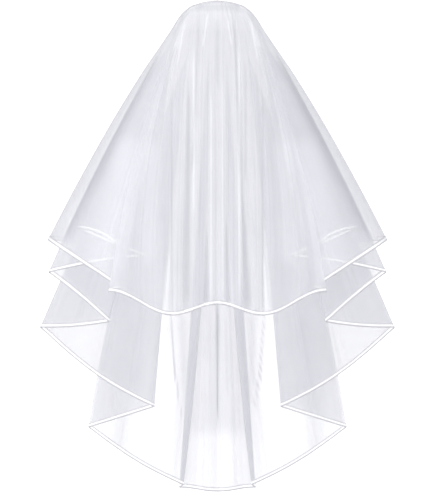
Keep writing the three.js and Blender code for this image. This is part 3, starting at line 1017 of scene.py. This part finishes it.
def hair_comb():
    """The comb's bowed spine with a softened edge, and its tapered teeth."""
    bm = bmesh.new()
    made = bmesh.ops.create_grid(bm, x_segments=SPINE_CELLS, y_segments=1, size=1)["verts"]
    for v in made:
        x = v.co.x * COMB_HALF
        y = bow_at(x) + (SPINE_FRONT if v.co.y > 0 else -SPINE_BACK)
        v.co = Vector((x, y, -SPINE_HIGH / 2)) * MM
    raised = bmesh.ops.extrude_face_region(bm, geom=bm.faces[:])["geom"]
    tops = [v for v in raised if isinstance(v, bmesh.types.BMVert)]
    bmesh.ops.translate(bm, verts=tops, vec=(0, 0, SPINE_HIGH * MM))
    bmesh.ops.recalc_face_normals(bm, faces=bm.faces)
    sharp = [e for e in bm.edges if len(e.link_faces) == 2 and e.calc_face_angle() > SHARP_ANGLE]
    bmesh.ops.bevel(
        bm, geom=sharp, offset=SPINE_ROUND * MM, segments=3, profile=0.5, affect="EDGES", material=-1,
    )
    tooth = tooth_mesh()
    reach = COMB_HALF - TOOTH_WIDE
    for k in range(TOOTH_COUNT):
        x = lerp(-reach, reach, k / (TOOTH_COUNT - 1))
        before = set(bm.verts)
        bm.from_mesh(tooth)
        fresh = [v for v in bm.verts if v not in before]
        bmesh.ops.translate(bm, verts=fresh, vec=Vector((x, bow_at(x), 0)) * MM)
    bpy.data.meshes.remove(tooth)
    return finished("comb", bm, COMB_PLASTIC, "hair_comb")


# The binding thread: half its thickness, how far its turns stand behind, before, above and below the
# middle of the spine, how square they are, and the steps of a turn and of the thread's own section
THREAD_HALF = 0.25
THREAD_BACK = 3.1
THREAD_FRONT = 3.7
THREAD_TOP = 4.4
THREAD_UNDER = 2.9
TURN_SQUARE = 0.6
TURN_STEPS = 20
THREAD_SIDES = 6


def gather_thread():
    """The thread that binds both gathers to the comb, in one run of turns between its teeth."""
    reach = COMB_HALF - TOOTH_WIDE
    count = (TOOTH_COUNT - 1) * TURN_STEPS
    path = []
    for k in range(count + 1):
        x = lerp(-reach, reach, k / count)
        angle = 2 * math.pi * k / TURN_STEPS
        round_y, round_z = math.sin(angle), math.cos(angle)
        wide = lerp(THREAD_FRONT, THREAD_BACK, (1 + round_y) / 2)
        high = lerp(THREAD_UNDER, THREAD_TOP, (1 + round_z) / 2)
        y = bow_at(x) + math.copysign(abs(round_y) ** TURN_SQUARE, round_y) * wide
        path.append((x, y, math.copysign(abs(round_z) ** TURN_SQUARE, round_z) * high))
    path = np.array(path)
    ahead = np.gradient(path, axis=0)
    ahead /= np.linalg.norm(ahead, axis=1, keepdims=True)
    side = np.cross(ahead, (1, 0, 0))
    side /= np.linalg.norm(side, axis=1, keepdims=True)
    up = np.cross(side, ahead)
    turns = [math.tau * k / THREAD_SIDES for k in range(THREAD_SIDES + 1)]
    rims = [path + THREAD_HALF * (math.cos(t) * side + math.sin(t) * up) for t in turns]
    tube = np.stack(rims, axis=1)
    run = np.broadcast_to(np.arange(len(path))[:, None] * MM, tube.shape[:2])
    across = np.broadcast_to(np.array(turns) * THREAD_HALF * MM, tube.shape[:2])
    bm, _ = grid_sheet(tube * MM, run, across)
    bmesh.ops.remove_doubles(bm, verts=bm.verts, dist=WELD_REACH)
    bmesh.ops.holes_fill(bm, edges=[e for e in bm.edges if e.is_boundary], sides=0)
    bmesh.ops.recalc_face_normals(bm, faces=bm.faces)
    return finished("gather_thread", bm, THREAD)


# Stage

# Metres: how far the camera is, how high its frame is, and how far that reaches above the comb
CAMERA_AWAY = 12
FRAME_HIGH = 0.866
FRAME_ABOVE = 0.0155
SENSOR_HIGH = 36
FLOOR_DOWN = -1.65
FLOOR_HALF = 2.0
FLOOR_COLOUR = (0.93, 0.93, 0.94, 1)
FLOOR_ROUGHNESS = 0.9
LAMP_AIM = (0, 0, -0.4)
# Each lamp's name, place, size and power
LAMPS = [
    ("left_softbox", (-3.1, -1.7, 0.4), (1.8, 1.8), 80),
    ("right_softbox", (3.1, -1.7, 0.4), (1.8, 1.8), 58),
    ("high_softbox", (0.6, -3.6, 2.2), (2.0, 2.0), 36),
]
ROOM_COLOUR = (0.93, 0.94, 1, 1)
ROOM_LIGHT = 0.5
BACKDROP_COLOUR = (1, 1, 1, 1)
BACKDROP_LIGHT = 1.35


def studio():
    scene = bpy.context.scene
    scene.view_settings.view_transform = "Standard"
    camera = bpy.data.objects.new("camera", bpy.data.cameras.new("camera"))
    scene.collection.objects.link(camera)
    camera.location = (0, -CAMERA_AWAY, -(FRAME_HIGH / 2 - FRAME_ABOVE))
    camera.rotation_euler = (math.pi / 2, 0, 0)
    camera.data.sensor_fit = "VERTICAL"
    camera.data.sensor_height = SENSOR_HIGH
    camera.data.lens = camera.data.sensor_height * CAMERA_AWAY / FRAME_HIGH
    scene.camera = camera
    for name, at, size, power in LAMPS:
        lamp = bpy.data.lights.new(name, "AREA")
        lamp.shape = "RECTANGLE"
        lamp.size, lamp.size_y = size
        lamp.energy = power
        holder = bpy.data.objects.new(name, lamp)
        holder.location = at
        holder.rotation_euler = (Vector(LAMP_AIM) - Vector(at)).to_track_quat("-Z", "Y").to_euler()
        scene.collection.objects.link(holder)
    world = bpy.data.worlds.new("pale_studio")
    world.use_nodes = True
    scene.world = world
    tree = world.node_tree
    room = tree.nodes["Background"]
    room.inputs["Color"].default_value = ROOM_COLOUR
    room.inputs["Strength"].default_value = ROOM_LIGHT
    seen = tree.nodes.new("ShaderNodeBackground")
    seen.inputs["Color"].default_value = BACKDROP_COLOUR
    seen.inputs["Strength"].default_value = BACKDROP_LIGHT
    path = tree.nodes.new("ShaderNodeLightPath")
    mix = tree.nodes.new("ShaderNodeMixShader")
    tree.links.new(path.outputs["Is Camera Ray"], mix.inputs["Fac"])
    tree.links.new(room.outputs[0], mix.inputs[1])
    tree.links.new(seen.outputs[0], mix.inputs[2])
    tree.links.new(mix.outputs[0], tree.nodes["World Output"].inputs["Surface"])
    bm = bmesh.new()
    bmesh.ops.create_grid(bm, x_segments=1, y_segments=1, size=FLOOR_HALF)
    bmesh.ops.translate(bm, verts=bm.verts, vec=(0, 0, FLOOR_DOWN))
    mesh = bpy.data.meshes.new("floor")
    bm.to_mesh(mesh)
    bm.free()
    material, _, shader = new_material("pale_floor")
    shader.inputs["Base Color"].default_value = FLOOR_COLOUR
    shader.inputs["Roughness"].default_value = FLOOR_ROUGHNESS
    mesh.materials.append(material)
    floor = bpy.data.objects.new("floor", mesh)
    scene.collection.objects.link(floor)


hair_comb()
gather_thread()
# Each tier, its flat cut in metres and that cut's flat area in square metres
for key, cut, area in (("top", (1.32, 0.56), 0.40), ("lower", (2.22, 0.87), 0.93)):
    net, points, normals = net_sheet(key + "_net", TIERS[key])
    ribbon = ribbon_band(key + "_ribbon_band", points, normals, key + "_ribbon")
    stitches = ribbon_stitches(key + "_ribbon_stitches", points, normals)
studio()
